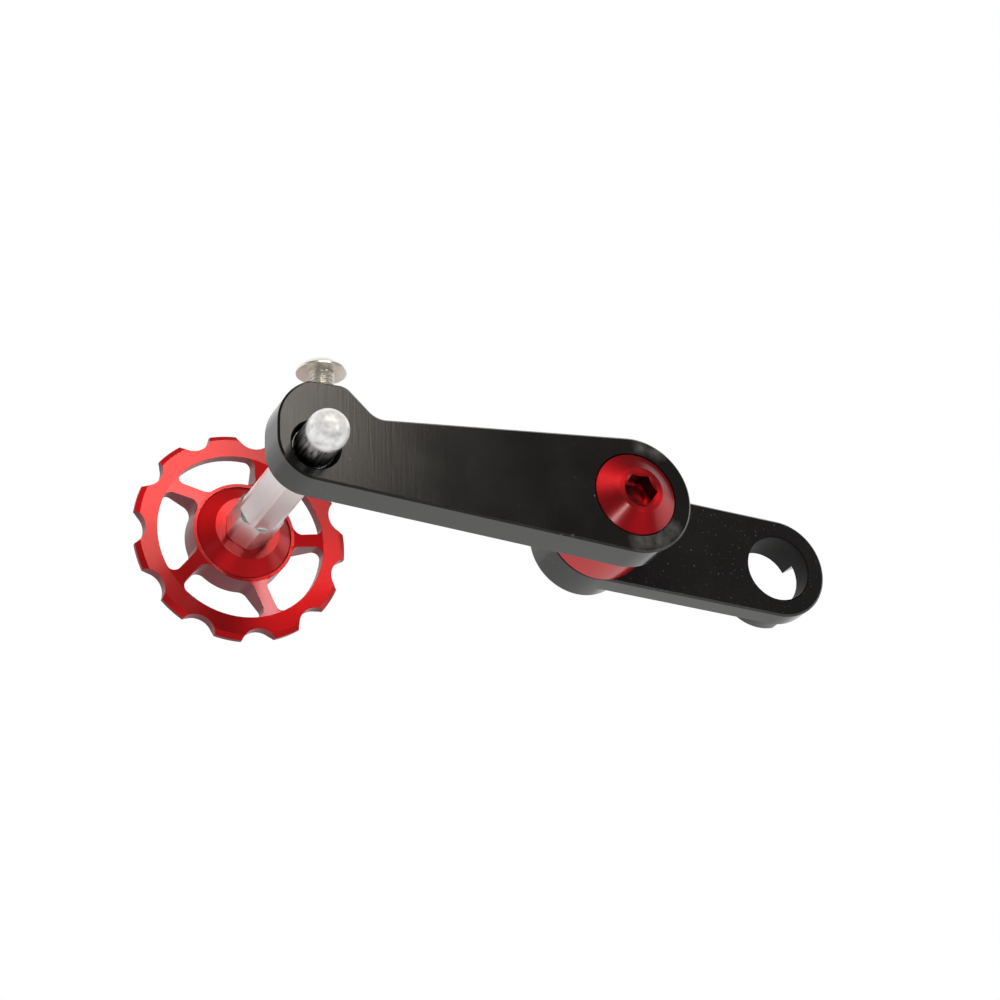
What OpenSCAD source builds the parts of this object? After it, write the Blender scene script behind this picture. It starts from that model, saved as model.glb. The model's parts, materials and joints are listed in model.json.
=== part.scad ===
// Bicycle chain tensioner: a link that bolts to the dropout hanger, a
// spring-loaded arm on a pivot bolt, and an 11-tooth jockey wheel on an
// axle that slides through the arm's far end and is held by one screw.
// Lengths are millimetres. The row's origin is the middle of the hanger
// bore, in the plane of the link's back face. +X is right, +Z is up and
// +Y runs away from the viewer, along the bolts, towards the wheel.
// Modules draw in a flat frame (x right, y up, z towards the viewer) and
// stand() turns that frame into the row's.

/* [Arm] */
// Thickness of the arm
arm_t = 8; // [5:0.1:12]
// Distance from the pivot to the axle hole
arm_len = 64.9; // [50:0.1:90]
// Radius of the arm's round end at the pivot
arm_eye_r = 12; // [11:0.1:14]
// Radius of the rounded lower corner at the axle end
head_low_r = 8.05; // [6.5:0.05:9]
// Radius of the rounded upper corner at the axle end
head_up_r = 9.85; // [9:0.05:11]
// Height of the screw's flat seat above the line of centres
seat_h = 13.05; // [12:0.05:15]
// Radius of the corner between the seat and the slope
seat_corner_r = 2.9; // [1:0.1:4]
// Radius of the hollow corner where the slope meets the top edge
slope_hollow_r = 4.4; // [2:0.1:6]
// Chamfer along the edges of the arm and the link
edge_chamfer = 0.4; // [0.2:0.05:0.8]
// Chamfer at the mouths of the drilled holes
hole_chamfer = 0.35; // [0.1:0.05:0.6]

/* [Pivot] */
// Gap between the link and the arm, filled by the collar
pivot_gap = 9.6; // [8:0.1:14]
// Radius of the pivot bolt's shank
bolt_r = 4; // [3:0.1:4.5]
// Radius of the pivot bolt's head where it leaves the arm
bolt_head_r = 8.35; // [7.5:0.05:9]
// Radius of the flat ring on top of the head
bolt_ring_r = 4.6; // [4:0.05:6]
// Height that the head stands above the arm's face
bolt_proud = 2.5; // [1:0.1:4]
// Depth of the recess for the head in the arm's face
recess_h = 2.5; // [1.5:0.1:3.5]
// Distance across the flats of the bolt's hex socket
socket_af = 6; // [5:0.1:6.5]
// Depth of the bolt's hex socket
socket_h = 3.6; // [2:0.1:4]
// Outer radius of the sleeve that the arm turns on
sleeve_r = 5; // [4.8:0.05:5.4]
// Thickness of the washer under the head
head_washer_t = 0.5; // [0.3:0.1:0.8]
// Outer radius of the red collar
collar_r = 10.7; // [10:0.05:11.5]
// Inner radius of the collar and of the spring's pocket
pocket_r = 8; // [7.8:0.05:8.3]
// Radius of the spring wire
wire_r = 0.7; // [0.5:0.05:0.8]
// Radius of the spring's coil to the middle of the wire
coil_r = 6.5; // [6.2:0.05:6.8]
// Number of turns of the spring
coil_turns = 6; // [4:1:7]
// Radius of the stop pin
stop_pin_r = 0.7; // [0.5:0.05:0.75]
// Swing of the arm in degrees from its rest on the stop
swing = 90; // [30:5:120]

/* [Link] */
// Thickness of the link's plate
link_t = 5; // [4:0.1:7]
// Distance from the hanger bore to the pivot
link_len = 41; // [34:0.1:60]
// Slope of the link in degrees, pivot end up
link_slope = 3.5; // [0:0.5:10]
// Radius of the link's end at the hanger bore
hanger_eye_r = 10.5; // [10.2:0.05:12]
// Radius of the link's end and barrel at the pivot
barrel_r = 10.6; // [10.2:0.05:12]
// Depth of the barrel behind the plate
barrel_h = 4; // [3:0.1:7]
// Thickness of the barrel's floor, which the pivot bolt screws into
barrel_floor_t = 4; // [3:0.1:5]
// Radius of the hanger bore
hanger_bore_r = 6.85; // [5:0.05:7.5]
// Outer radius of the stop lip round the hanger bore
lip_r = 9.8; // [9:0.05:10.2]
// Depth of the stop lip behind the plate
lip_h = 3.9; // [2:0.1:6]
// Angle in degrees at which the stop lip starts
lip_from = 28; // [10:1:60]
// Angle in degrees at which the stop lip ends
lip_to = 285; // [240:1:300]

/* [Axle] */
// Distance across the flats of the hexagonal rod
rod_af = 8.4; // [7:0.1:8.6]
// Radius of the rod's turned end
rod_end_r = 4; // [3:0.05:4.1]
// Length of the turned end before its dome, in front of the arm
rod_out = 6.3; // [3:0.1:12]
// Length of the hexagon behind the arm's front face
rod_back = 30.5; // [24:0.1:40]
// Depth of the turned end inside the arm
rod_turned_in = 1.5; // [0.5:0.1:3]
// Distance across the flats of the spacer
spacer_af = 8.7; // [8:0.1:9.5]
// Length of the spacer
spacer_len = 9.25; // [4:0.05:14]
// How much of the hexagons' corners the rounding leaves, as a share
corner_share = 0.6; // [0.3:0.05:0.9]
// Shank radius of the clamp screw and of the wheel's bolt
screw_r = 2.5; // [2:0.1:2.8]
// Length of the clamp screw under its head
clamp_len = 12.65; // [11:0.05:16]
// Length of the wheel's bolt under its head
wheel_bolt_len = 30; // [25:0.5:32]
// Head radius of the screws
button_r = 4.75; // [4.5:0.05:5.25]
// Head height of the screws
button_h = 2.75; // [2.2:0.05:3]

/* [Wheel] */
// Number of teeth
teeth = 11; // [9:1:13]
// Pitch of the chain
chain_pitch = 12.7; // [12.7]
// Radius of the chain's rollers
roller_r = 3.875; // [3.8:0.025:3.95]
// How far the teeth's tips stay inside the pitch circle
tip_drop = 0.79; // [0.4:0.01:1.5]
// Thickness of the rim and the teeth
rim_t = 2.3; // [1.8:0.05:3]
// How far the roller seats' centres stand outside the pitch circle
seat_out = 0.75; // [0:0.05:1]
// Width of the rim inside the roller seats
rim_w = 2.3; // [1.8:0.05:2.8]
// Number of spokes
spokes = 5; // [4:1:6]
// Width of a spoke
spoke_w = 2.7; // [2:0.1:4]
// How far a spoke leans off its radius, at the rim and at the hub
spoke_lean = 0.4; // [0:0.05:0.8]
// Radius of the openings' corners beside the rim
rim_corner_r = 1.5; // [1.2:0.05:2.4]
// Radius of the openings' corners beside the hub
hub_corner_r = 1.9; // [1.2:0.05:2.4]
// Outer radius of the hub
hub_r = 10.35; // [10.2:0.05:11]
// Radius of the recess for the caps in the hub
hub_recess_r = 9.83; // [9.4:0.01:9.9]
// Width of the hub
hub_w = 6; // [5:0.1:7]
// Outer radius of the bearing
bearing_r = 7; // [6.6:0.05:7.4]
// Width of the bearing
bearing_w = 4; // [3.4:0.1:4.4]
// Radius of the bearing's balls
ball_r = 1.2; // [1:0.05:1.25]
// Radius of the circle that the balls' centres lie on
ball_circle_r = 4.75; // [4.7:0.05:4.85]
// Number of balls
balls = 9; // [6:1:9]
// Radius of the caps' edge
cap_r = 9.6; // [9:0.05:9.7]
// Radius of the caps' flat top
cap_top_r = 6.55; // [5.4:0.05:7]
// Height of the caps' flat top from the middle of the wheel
cap_top_h = 5.1; // [4:0.1:6.5]

/* [Fits] */
// Clearance on the radius of parts that turn
run_clear = 0.05; // [0.02:0.01:0.1]
// Clearance on the radius of parts that slide
slide_clear = 0.04; // [0.01:0.01:0.05]
// Clearance on the radius between threads
thread_clear = 0.02; // [0.01:0.01:0.05]
// Clearance at the faces of parts that turn
face_clear = 0.05; // [0.02:0.01:0.1]
// Clearance round parts that only pass through
loose_clear = 0.3; // [0.2:0.05:0.5]

/* [Hidden] */
$fn = 96;
// Levels towards the viewer, from the link's back face
arm_back = link_t + pivot_gap;
arm_front = arm_back + arm_t;
pivot = [-link_len * cos(link_slope), link_len * sin(link_slope)];
axle = pivot + [-arm_len, 0];
// The outline of the arm's head, as shares of the arm's length
low_x_share = -0.989;
low_y_share = 0.0175;
up_x_share = -0.9615;
up_y_share = 0.0605;
seat_end_share = -0.9085;
slope_deg = -43.5;
screw_x_share = -0.963;
low_c = [arm_len * low_x_share, arm_len * low_y_share];
up_c = [arm_len * up_x_share, arm_len * up_y_share];
seat_end = [arm_len * seat_end_share, seat_h];
screw_x = arm_len * screw_x_share;
wheel_mid = arm_front - rod_back - spacer_len - cap_top_h;
function corner_r(af) = af / 2 * (1 + (1 / cos(30) - 1) * corner_share);
socket_corner_r = socket_af / 2 / cos(30);
axle_hole_r = corner_r(rod_af) + slide_clear;
head_under = arm_front - recess_h + face_clear + head_washer_t;
spring_floor = barrel_floor_t - barrel_h;
pitch_r = chain_pitch / 2 / sin(180 / teeth);
tip_r = pitch_r - tip_drop;
seat_at_r = pitch_r + seat_out;
rim_in_r = seat_at_r - roller_r - rim_w;
tip_bevel = rim_t * 0.3;
stop_r = pocket_r + stop_pin_r + face_clear * 2;
stop_h = stop_pin_r * 3;
stop_deg = 250;
stop_half = asin((stop_pin_r + face_clear) / stop_r);
// The plate's end inside the barrel, as a share of the barrel's radius
plate_share = 0.985;
// Height of the arm's top edge at the axle's end, as a share of the seat's
top_edge_share = 0.475;
// The spring's foot, its steps a turn, and the bends at its two ends
spring_foot_deg = 60;
spring_steps = 20;
bend_r = wire_r * 1.6;
bend_deg = bend_r / coil_r * 180 / PI;
coil_low = spring_floor + wire_r * 1.3 + bend_r;
coil_high = arm_back - wire_r * 1.3 - bend_r;
// The wheel bolt's washer, and the bolt's length inside the rod
bolt_washer_t = screw_r * 0.32;
wheel_bolt_grip = wheel_bolt_len - spacer_len - 2 * cap_top_h
  - bolt_washer_t + screw_r * 0.4;
// The bearing's races and shields
race_in_r = ball_circle_r - ball_r * 0.83;
race_out_r = ball_circle_r + ball_r * 0.83;
shield_t = bearing_w * 0.06;
// How the wheel is turned: the middle of one spoke and of one tooth
spoke_deg = 2.5;
tooth_deg = 100.6;
// Degrees between the points of an arc in an outline
arc_step = 5;
// A cut reaches this far past a face
over = edge_chamfer;

black = [0.05, 0.05, 0.055];
red = [0.75, 0.05, 0.07];
steel = [0.72, 0.73, 0.74];
silver = [0.78, 0.79, 0.8];
bronze = [0.7, 0.5, 0.28];
spring_grey = [0.35, 0.36, 0.38];

module stand() { rotate([90, 0, 0]) children(); }
module at(p, z) { translate([p[0], p[1], z]) children(); }

// Unit vector at an angle
function dir(a) = [cos(a), sin(a)];
// Angle of the outer tangent's touching points on two circles; s = 1 left of
// c1 to c2, else -1
function tangent_deg(c1, r1, c2, r2, s) =
  let (d = c2 - c1) atan2(d[1], d[0]) + s * acos((r1 - r2) / norm(d));
// Where the line through p at angle a meets the line through q at angle b
function meet(p, a, q, b) =
  let (d = q - p, k = (d[0] * sin(b) - d[1] * cos(b)) / sin(b - a))
  p + k * dir(a);

// A round plate with chamfered edges
module disc(c, r, t, ch) {
  at(c, 0) {
    cylinder(r1 = r - ch, r2 = r, h = ch);
    translate([0, 0, ch]) cylinder(r = r, h = t - 2 * ch);
    translate([0, 0, t - ch]) cylinder(r1 = r, r2 = r - ch, h = ch);
  }
}

// Points of one arc [centre, radius, from, to, joined]. A hollow arc has a
// negative radius; a joined arc leaves out its first point
function arc_points(arc, inset) =
  let (n = ceil(abs(arc[3] - arc[2]) / arc_step),
    r = arc[1] > 0 ? arc[1] - inset : inset - arc[1])
  [for (k = [(arc[4] ? 1 : 0) : n])
    arc[0] + r * dir(arc[2] + (arc[3] - arc[2]) * k / n)];
function outline(arcs, inset) =
  [for (arc = arcs) for (p = arc_points(arc, inset)) p];
function level(pts, z) = [for (p = pts) [p[0], p[1], z]];

// A plate whose outline is arcs joined by straight edges, anticlockwise,
// chamfered all round on both faces
module plate(arcs, t, ch) {
  edge = outline(arcs, 0);
  face = outline(arcs, ch);
  n = len(edge);
  polyhedron(
    points = concat(level(face, 0), level(edge, ch), level(edge, t - ch),
      level(face, t)),
    faces = concat([[for (i = [0 : n - 1]) i]],
      [for (l = [0 : 2], i = [0 : n - 1]) let (j = (i + 1) % n)
        [l * n + i, (l + 1) * n + i, (l + 1) * n + j, l * n + j]],
      [[for (i = [n - 1 : -1 : 0]) 3 * n + i]]));
}

// A drilled hole from z = 0 to t with chamfered mouths, to be cut away
module drill(r, t, ch) {
  translate([0, 0, -over]) cylinder(r = r, h = t + 2 * over);
  translate([0, 0, -over]) cylinder(r1 = r + ch + over, r2 = r, h = ch + over);
  translate([0, 0, t - ch]) cylinder(r1 = r, r2 = r + ch + over, h = ch + over);
}

// A wedge seen from z, from angle a to b, anticlockwise, under 180 degrees
module wedge(a, b, r, t) {
  linear_extrude(t) polygon([[0, 0], r * dir(a),
    r / cos((b - a) / 2) * dir((a + b) / 2), r * dir(b)]);
}

// A hexagonal bar from z = 0 to h with rounded corners, chamfered at both
// ends
module hex_bar(af, h, turn) {
  corner = af / 2 / cos(30);
  near = af / 2 * 0.985;
  far = corner_r(af);
  rise = (far - near) * tan(40);
  intersection() {
    rotate([0, 0, turn]) cylinder(r = corner, h = h, $fn = 6);
    rotate_extrude() polygon([[0, 0], [near, 0], [far, rise],
      [far, h - rise], [near, h], [0, h]]);
  }
}

// A button-head screw: head above z = 0, shank below
module button_screw(shank_r, len, head_r, head_h) {
  edge_h = head_h * 0.15;
  dome_r = (head_r * head_r + pow(head_h - edge_h, 2)) / 2
    / (head_h - edge_h);
  key_r = head_r * 0.365;
  difference() {
    union() {
      intersection() {
        cylinder(r = head_r, h = head_h);
        translate([0, 0, head_h - dome_r]) sphere(r = dome_r);
      }
      translate([0, 0, shank_r * 0.3 - len])
        cylinder(r = shank_r, h = len - shank_r * 0.3);
      translate([0, 0, -len])
        cylinder(r1 = shank_r * 0.7, r2 = shank_r, h = shank_r * 0.3);
    }
    translate([0, 0, head_h * 0.4])
      cylinder(r = key_r, h = head_h, $fn = 6);
  }
}

// Link that bolts to the hanger
module hanger_link() {
  eye_r = barrel_r * plate_share;
  top = tangent_deg(pivot, eye_r, [0, 0], hanger_eye_r, 1);
  low = tangent_deg(pivot, eye_r, [0, 0], hanger_eye_r, -1);
  color(black) stand() difference() {
    union() {
      plate([[[0, 0], hanger_eye_r, low, top], [pivot, eye_r, top,
        360 + low]], link_t, edge_chamfer);
      at(pivot, -barrel_h)
        disc([0, 0], barrel_r, link_t + barrel_h, edge_chamfer);
      difference() {
        translate([0, 0, -lip_h]) cylinder(r = lip_r, h = lip_h + over);
        translate([0, 0, -lip_h - over])
          wedge(lip_to - 360, lip_from, 2 * lip_r, lip_h + over);
      }
    }
    translate([0, 0, -lip_h - over])
      cylinder(r = hanger_bore_r, h = link_t + lip_h + 2 * over);
    translate([0, 0, link_t - hole_chamfer]) cylinder(r1 = hanger_bore_r,
      r2 = hanger_bore_r + hole_chamfer + over, h = hole_chamfer + over);
    at(pivot, spring_floor)
      cylinder(r = pocket_r, h = link_t - spring_floor + over);
    at(pivot, -barrel_h)
      drill(bolt_r + thread_clear, barrel_h + spring_floor, hole_chamfer);
    at(pivot + coil_r * dir(spring_foot_deg), spring_floor - 3 * wire_r)
      cylinder(r = wire_r * 1.15, h = 4 * wire_r);
  }
}

// Red collar between the link and the arm, with a hidden track in its
// front edge in which the stop pin runs
module spring_collar() {
  h = pivot_gap - face_clear;
  track_r = stop_r + stop_pin_r + face_clear;
  first = stop_deg + stop_half;
  last = stop_deg - swing - stop_half;
  color(red) stand() at(pivot, link_t) difference() {
    disc([0, 0], collar_r, h, edge_chamfer / 2);
    translate([0, 0, -over]) cylinder(r = pocket_r, h = h + 2 * over);
    translate([0, 0, h - stop_h]) intersection() {
      cylinder(r = track_r, h = stop_h + over);
      union() {
        wedge(last, (first + last) / 2 + 1, 2 * track_r, stop_h + over);
        wedge((first + last) / 2 - 1, first, 2 * track_r, stop_h + over);
      }
    }
  }
}

// Pivot bolt with a conical head and a hex socket
module pivot_bolt() {
  head_top = arm_front + bolt_proud;
  tip = -barrel_h + edge_chamfer;
  color(red) stand() at(pivot, 0) difference() {
    union() {
      translate([0, 0, head_under])
        cylinder(r = bolt_head_r, h = arm_front - head_under);
      translate([0, 0, arm_front]) cylinder(r1 = bolt_head_r,
        r2 = bolt_ring_r, h = bolt_proud);
      translate([0, 0, tip + edge_chamfer])
        cylinder(r = bolt_r, h = head_under - tip - edge_chamfer);
      translate([0, 0, tip]) cylinder(r1 = bolt_r - edge_chamfer,
        r2 = bolt_r, h = edge_chamfer);
    }
    translate([0, 0, head_top - socket_h])
      cylinder(r = socket_corner_r, h = socket_h + over, $fn = 6);
    translate([0, 0, head_top - (socket_corner_r - socket_af / 2)])
      cylinder(r1 = socket_af / 2, r2 = socket_corner_r
        + (socket_corner_r - socket_af / 2) * 0.2,
        h = socket_corner_r - socket_af / 2);
    translate([0, 0, head_top - socket_h - socket_af / 2 * tan(30)])
      cylinder(r1 = 0, r2 = socket_af / 2 * 0.999,
        h = socket_af / 2 * tan(30));
  }
}

// Steel sleeve on the bolt, on which the arm turns
module pivot_sleeve() {
  color(steel) stand() at(pivot, spring_floor) difference() {
    disc([0, 0], sleeve_r, head_under - head_washer_t - spring_floor,
      face_clear * 3);
    translate([0, 0, -over]) cylinder(r = bolt_r + thread_clear * 2,
      h = head_under - spring_floor + over);
  }
}

// Bronze washer under the bolt's head
module head_washer() {
  color(bronze) stand() at(pivot, head_under - head_washer_t) difference() {
    cylinder(r = bolt_head_r, h = head_washer_t);
    translate([0, 0, -over]) cylinder(r = bolt_r + thread_clear * 2,
      h = head_washer_t + 2 * over);
  }
}

// The spring's path: a foot in the link, the coil, and a leg in the arm
function helix(k) = let (n = coil_turns * spring_steps)
  [spring_foot_deg + bend_deg + 360 * coil_turns * k / n,
    coil_low + (coil_high - coil_low) * k / n];
function spring_path() = let (last = helix(coil_turns * spring_steps))
  concat(
    [[spring_foot_deg, spring_floor - 2.4 * wire_r]],
    [for (j = [0 : 3]) [spring_foot_deg + bend_deg * (1 - cos(j * 30)),
      coil_low - bend_r * (1 - sin(j * 30))]],
    [for (k = [1 : coil_turns * spring_steps - 1]) helix(k)],
    [for (j = [0 : 3]) [last[0] + bend_deg * sin(j * 30),
      last[1] + bend_r * (1 - cos(j * 30))]],
    [[last[0] + bend_deg, arm_back + 2.4 * wire_r]]);
function on_coil(q) = [coil_r * cos(q[0]), coil_r * sin(q[0]), q[1]];

// Torsion spring of round wire
module torsion_spring() {
  sides = 8;
  path = spring_path();
  n = len(path);
  pts = [for (i = [0 : n - 1], j = [0 : sides - 1])
    let (p = on_coil(path[i]),
      t = on_coil(path[min(i + 1, n - 1)]) - on_coil(path[max(i - 1, 0)]),
      e1 = [cos(path[i][0]), sin(path[i][0]), 0],
      c = cross(t, e1), e2 = c / norm(c))
    p + wire_r * (cos(360 * j / sides) * e1 + sin(360 * j / sides) * e2)];
  faces = concat(
    [[for (j = [0 : sides - 1]) sides - 1 - j]],
    [for (i = [0 : n - 2], j = [0 : sides - 1])
      let (a = i * sides + j, b = i * sides + (j + 1) % sides)
      [a, b, b + sides]],
    [for (i = [0 : n - 2], j = [0 : sides - 1])
      let (a = i * sides + j, b = i * sides + (j + 1) % sides)
      [a, b + sides, a + sides]],
    [[for (j = [0 : sides - 1]) (n - 1) * sides + j]]);
  color(spring_grey) stand() at(pivot, 0)
    polyhedron(points = pts, faces = [for (f = faces)
      [for (k = [len(f) - 1 : -1 : 0]) f[k]]]);
}

// The arm
module main_arm() {
  low = tangent_deg(low_c, head_low_r, [0, 0], arm_eye_r, -1);
  left = 360 + tangent_deg(up_c, head_up_r, low_c, head_low_r, -1);
  seat_round = edge_chamfer * 2;
  seat_c = [up_c[0] - sqrt(pow(head_up_r - seat_round, 2)
    - pow(seat_h - seat_round - up_c[1], 2)), seat_h - seat_round];
  seat_deg = atan2(seat_c[1] - up_c[1], seat_c[0] - up_c[0]);
  corner_c = seat_end + [-seat_corner_r * tan(-slope_deg / 2),
    -seat_corner_r];
  slope_top = corner_c + seat_corner_r * dir(slope_deg + 90);
  top_deg = asin((arm_eye_r - seat_h * top_edge_share) / arm_len);
  eye_top = arm_eye_r * dir(90 + top_deg);
  valley = meet(eye_top, top_deg + 180, slope_top, slope_deg);
  open = 180 + slope_deg - top_deg;
  reach = slope_hollow_r / tan(open / 2);
  hollow_c = valley + reach * dir(top_deg)
    + slope_hollow_r * dir(top_deg + 90);
  color(black) stand() at(pivot, arm_back) difference() {
    union() {
      plate([[[0, 0], arm_eye_r, low, 90 + top_deg],
        [hollow_c, -slope_hollow_r, top_deg + 270, slope_deg + 270],
        [corner_c, seat_corner_r, slope_deg + 90, 90],
        [seat_c, seat_round, 90, seat_deg],
        [up_c, head_up_r, seat_deg, left, true],
        [low_c, head_low_r, left, 360 + low]], arm_t, edge_chamfer);
    }
    drill(sleeve_r + run_clear, arm_t - recess_h, 0);
    translate([0, 0, arm_t - recess_h])
      cylinder(r = bolt_head_r + loose_clear, h = recess_h + over);
    at([-arm_len, 0], 0) drill(axle_hole_r, arm_t, hole_chamfer);
    translate([screw_x, 0, arm_t / 2]) rotate([-90, 0, 0]) {
      cylinder(r = screw_r + run_clear, h = seat_h + over);
      translate([0, 0, seat_h - hole_chamfer])
        cylinder(r1 = screw_r + run_clear, r2 = screw_r + run_clear
          + hole_chamfer + over, h = hole_chamfer + over);
    }
    at(coil_r * dir(helix(coil_turns * spring_steps)[0] + bend_deg), -over)
      cylinder(r = wire_r * 1.15, h = 3 * wire_r + over);
    at(stop_r * dir(stop_deg), -over)
      cylinder(r = stop_pin_r, h = stop_h * 1.5 + over);
  }
}
// Stop pin, pressed into the arm's back face
module stop_pin() {
  color(steel) stand() at(pivot + stop_r * dir(stop_deg),
    arm_back - stop_h + stop_pin_r / 2)
    disc([0, 0], stop_pin_r, stop_h * 2.5 - stop_pin_r / 2,
      stop_pin_r * 0.2);
}

// Clamp screw, its tip on the rod's upper flat
module clamp_screw() {
  color(steel) stand() translate([pivot[0] + screw_x,
    pivot[1] + rod_af / 2 + face_clear + clamp_len, arm_back + arm_t / 2])
    rotate([-90, 0, 0])
    button_screw(screw_r, clamp_len, button_r, button_h);
}

// Hexagonal rod with a turned, domed end
module axle_rod() {
  back = arm_front - rod_back;
  hex_len = rod_back - rod_turned_in;
  dome = arm_front + rod_out;
  color(silver) stand() at(axle, 0) difference() {
    union() {
      translate([0, 0, back]) hex_bar(rod_af, hex_len, 0);
      translate([0, 0, back + hex_len - over])
        cylinder(r = rod_end_r, h = dome - back - hex_len + over);
      translate([0, 0, dome]) sphere(r = rod_end_r);
    }
    translate([0, 0, back - over])
      cylinder(r = screw_r + thread_clear, h = wheel_bolt_grip + 2 * over);
    translate([0, 0, back + wheel_bolt_grip + over]) cylinder(
      r1 = screw_r + thread_clear, r2 = 0, h = screw_r * tan(30));
  }
}
// Hexagonal spacer between the rod and the wheel's front cap
module hex_spacer() {
  color(silver) stand() at(axle, wheel_mid + cap_top_h) difference() {
    hex_bar(spacer_af, spacer_len, 30);
    translate([0, 0, -over]) cylinder(r = screw_r + loose_clear / 3,
      h = spacer_len + 2 * over);
  }
}

// Conical cap; side = 1 for the front, -1 for the rear
module cap(side) {
  under = bearing_w / 2 + loose_clear;
  boss = bearing_w / 2;
  bore = screw_r + loose_clear / 3;
  color(red) stand() at(axle, wheel_mid) scale_y(side) rotate_extrude()
    polygon([[bore, boss], [race_in_r, boss], [race_in_r, under],
      [cap_r, under], [cap_r, under + (cap_top_h - under) * 0.2],
      [cap_top_r, cap_top_h], [bore, cap_top_h]]);
}
module scale_y(side) { rotate([side > 0 ? 0 : 180, 0, 0]) children(); }
module front_cap() { cap(1); }
module rear_cap() { cap(-1); }

// The bearing
module groove() {
  rotate_extrude() translate([ball_circle_r, 0])
    circle(r = ball_r + thread_clear);
}
module ring(r_in, r_out, w) {
  translate([0, 0, -w / 2]) difference() {
    cylinder(r = r_out, h = w);
    translate([0, 0, -over]) cylinder(r = r_in, h = w + 2 * over);
  }
}
module inner_race() {
  color(steel) stand() at(axle, wheel_mid) difference() {
    ring(screw_r + thread_clear, race_in_r, bearing_w);
    groove();
  }
}
module outer_race() {
  color(steel) stand() at(axle, wheel_mid) difference() {
    ring(race_out_r, bearing_r, bearing_w);
    groove();
  }
}
module ball_set(r) {
  for (k = [0 : balls - 1])
    at(ball_circle_r * dir(360 * k / balls), 0) sphere(r = r);
}
module bearing_balls() {
  color(steel) stand() at(axle, wheel_mid) ball_set(ball_r);
}
module ball_cage() {
  color(bronze) stand() at(axle, wheel_mid) difference() {
    ring(ball_circle_r - ball_r * 0.25, ball_circle_r + ball_r * 0.25,
      ball_r * 2.3);
    for (k = [0 : balls - 1])
      at(ball_circle_r * dir(360 * k / balls), 0)
        rotate([90, 0, 360 * k / balls + 90])
        cylinder(r = ball_r + thread_clear, h = 2 * ball_r, center = true);
  }
}
module shield(side) {
  color(steel) stand() at(axle, wheel_mid + side
    * (bearing_w / 2 - shield_t))
    ring(race_in_r + run_clear * 2, race_out_r, shield_t);
}
module front_shield() { shield(1); }
module rear_shield() { shield(-1); }

// Washer and bolt behind the rear cap
module bolt_washer() {
  color(steel) stand() at(axle, wheel_mid - cap_top_h - bolt_washer_t / 2)
    ring(screw_r + loose_clear / 3, button_r * 1.05, bolt_washer_t);
}
module wheel_bolt() {
  color(steel) stand() at(axle, wheel_mid - cap_top_h - bolt_washer_t)
    rotate([180, 0, 0])
    button_screw(screw_r, wheel_bolt_len, button_r, button_h);
}

// Middle of an opening's corner, seen from the radius that the spoke beside
// it stands on; side = 1 past the spoke, -1 before it
function corner_at(r, q, side, lean) =
  let (s = side * (spoke_w / 2 + q) + lean) [sqrt(r * r - s * s), s];
function turned(p, a) = [p[0] * cos(a) - p[1] * sin(a),
  p[0] * sin(a) + p[1] * cos(a)];
function deg_of(p) = atan2(p[1], p[0]);

// One opening of the wheel, from one spoke to the next
module opening(t) {
  step = 360 / spokes;
  out_q = rim_corner_r;
  in_q = hub_corner_r;
  in_a = corner_at(hub_r + in_q, in_q, 1, -spoke_lean);
  out_a = corner_at(rim_in_r - out_q, out_q, 1, spoke_lean);
  in_b = turned(corner_at(hub_r + in_q, in_q, -1, -spoke_lean), step);
  out_b = turned(corner_at(rim_in_r - out_q, out_q, -1, spoke_lean), step);
  side_a = tangent_deg(in_a, in_q, out_a, out_q, -1);
  side_b = tangent_deg(in_b, in_q, out_b, out_q, 1);
  linear_extrude(t) polygon(outline([
    [out_a, out_q, side_a, deg_of(out_a)],
    [[0, 0], rim_in_r, deg_of(out_a), deg_of(out_b), true],
    [out_b, out_q, deg_of(out_b), side_b, true],
    [in_b, in_q, side_b, 180 + deg_of(in_b)],
    [[0, 0], -hub_r, deg_of(in_b), deg_of(in_a), true],
    [in_a, in_q, 180 + deg_of(in_a), 360 + side_a, true]], 0));
}

// Jockey wheel: teeth, rim, leaning spokes and hub in one piece
module jockey_wheel() {
  h = rim_t / 2;
  hh = hub_w / 2;
  color(red) stand() at(axle, wheel_mid) difference() {
    rotate_extrude() polygon([[bearing_r, -bearing_w / 2],
      [hub_recess_r, -bearing_w / 2], [hub_recess_r, -hh], [hub_r, -hh],
      [rim_in_r, -h], [tip_r - tip_bevel * 1.5, -h],
      [tip_r, -h + tip_bevel], [tip_r, h - tip_bevel],
      [tip_r - tip_bevel * 1.5, h], [rim_in_r, h], [hub_r, hh],
      [hub_recess_r, hh], [hub_recess_r, bearing_w / 2],
      [bearing_r, bearing_w / 2]]);
    for (k = [0 : teeth - 1])
      at(seat_at_r * dir(tooth_deg + (k + 0.5) * 360 / teeth), -rim_t)
        cylinder(r = roller_r, h = 2 * rim_t);
    for (k = [0 : spokes - 1]) rotate([0, 0, spoke_deg + 360 / spokes * k])
      translate([0, 0, -hub_w]) opening(2 * hub_w);
  }
}

hanger_link();
spring_collar();
pivot_bolt();
pivot_sleeve();
head_washer();
torsion_spring();
main_arm();
stop_pin();
clamp_screw();
axle_rod();
hex_spacer();
front_cap();
inner_race();
rear_cap();
bolt_washer();
wheel_bolt();
jockey_wheel();
outer_race();
bearing_balls();
ball_cage();
front_shield();
rear_shield();
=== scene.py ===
"""Looks of a bicycle chain tensioner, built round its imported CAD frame.

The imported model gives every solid. This script dresses each one with the
finish of the real part, and replaces seven of them with smoother or finer
meshes in the same place: the arm, the link, the pivot bolt, the rod, the
spring, the wheel, and the clamp screw with its cut thread. Lengths in the
dataclasses are millimetres.
"""

import json
import logging
import math
from dataclasses import dataclass
from enum import Enum

import bmesh
import bpy
from mathutils import Matrix, Vector

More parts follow.
